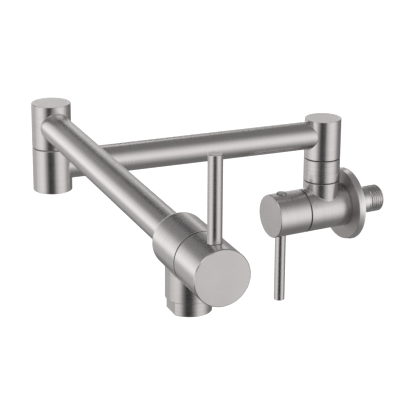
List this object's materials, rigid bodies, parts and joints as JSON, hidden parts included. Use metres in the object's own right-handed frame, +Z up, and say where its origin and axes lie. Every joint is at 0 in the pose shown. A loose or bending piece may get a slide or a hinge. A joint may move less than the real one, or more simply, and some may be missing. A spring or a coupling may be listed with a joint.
{
  "type": "wall mounted pot filler",
  "caption": "Wall mounted pot filler with a wall valve, a folding double jointed arm and a spout valve over a downward outlet, each valve with a rod lever.",
  "frame": {"origin": "on the inlet's axis where it meets the wall, in the plane of the flange's back face", "axes": "+Z up, +Y into the wall along the inlet, -Y into the room, +X along the wall to the right as seen from the room"},
  "size_m": [0.3341, 0.323, 0.2275],
  "materials": {
    "brushed_steel": "satin brushed stainless steel",
    "valve_brass": "machined brass",
    "seal_rubber": "matte black rubber",
    "seam_plastic": "dark sliding plastic",
    "ceramic": "lapped ceramic",
    "aerator_plastic": "moulded grey plastic",
    "screw_steel": "turned dark steel"
  },
  "bodies": {
    "wall_valve": {"inlet_nipple": "brushed_steel", "wall_flange": "brushed_steel", "wall_gasket": "seal_rubber", "wall_valve_body": "brushed_steel", "wall_seat_seal": "seal_rubber", "wall_cartridge": "valve_brass", "wall_cartridge_nut": "valve_brass", "wall_fixed_disc": "ceramic", "collar_gasket": "seam_plastic", "riser_collar": "brushed_steel", "riser_post": "valve_brass", "riser_seals": "seal_rubber", "riser_washer": "seam_plastic", "riser_clip": "screw_steel"},
    "wall_handle": {"wall_hub_ring": "seam_plastic", "wall_handle_hub": "brushed_steel", "wall_handle_lever": "brushed_steel", "wall_handle_stud": "screw_steel", "wall_handle_screw": "screw_steel", "wall_handle_plug": "brushed_steel", "wall_stem": "valve_brass", "wall_stem_seal": "seal_rubber", "wall_moving_disc": "ceramic"},
    "inner_arm": {"inner_barrel": "brushed_steel", "inner_barrel_cap": "brushed_steel", "inner_tube": "brushed_steel", "elbow_lower_barrel": "brushed_steel", "elbow_post": "valve_brass", "elbow_seals": "seal_rubber", "elbow_washer": "seam_plastic", "elbow_clip": "screw_steel"},
    "outer_arm": {"elbow_upper_barrel": "brushed_steel", "elbow_cap": "brushed_steel", "outer_tube": "brushed_steel", "spout_valve_body": "brushed_steel", "spout_seat_seal": "seal_rubber", "spout_cartridge": "valve_brass", "spout_cartridge_nut": "valve_brass", "spout_fixed_disc": "ceramic", "outlet_tube": "brushed_steel", "aerator_housing": "brushed_steel", "aerator_insert": "aerator_plastic", "aerator_washer": "seal_rubber"},
    "spout_handle": {"spout_hub_ring": "seam_plastic", "spout_handle_hub": "brushed_steel", "spout_handle_lever": "brushed_steel", "spout_handle_stud": "screw_steel", "spout_handle_screw": "screw_steel", "spout_handle_plug": "brushed_steel", "spout_stem": "valve_brass", "spout_stem_seal": "seal_rubber", "spout_moving_disc": "ceramic"}
  },
  "joints": [
    {"name": "wall_handle_turn", "type": "hinge", "parent": "wall_valve", "child": "wall_handle", "pos_m": [0, -0.0414, 0], "axis": [0, -1, 0], "range_deg": [0, 90]},
    {"name": "inner_arm_swing", "type": "hinge", "parent": "wall_valve", "child": "inner_arm", "pos_m": [0, -0.0236, 0.0412], "axis": [0, 0, 1], "range_deg": [-84, 96]},
    {"name": "outer_arm_swing", "type": "hinge", "parent": "inner_arm", "child": "outer_arm", "pos_m": [-0.02258, -0.23842, 0.074], "axis": [0, 0, 1], "range_deg": [-269.05, 90.95]},
    {"name": "spout_handle_turn", "type": "hinge", "parent": "outer_arm", "child": "spout_handle", "pos_m": [0.26529, -0.27351, 0.0904], "axis": [0.9927, -0.121, 0], "range_deg": [0, 90]}
  ]
}
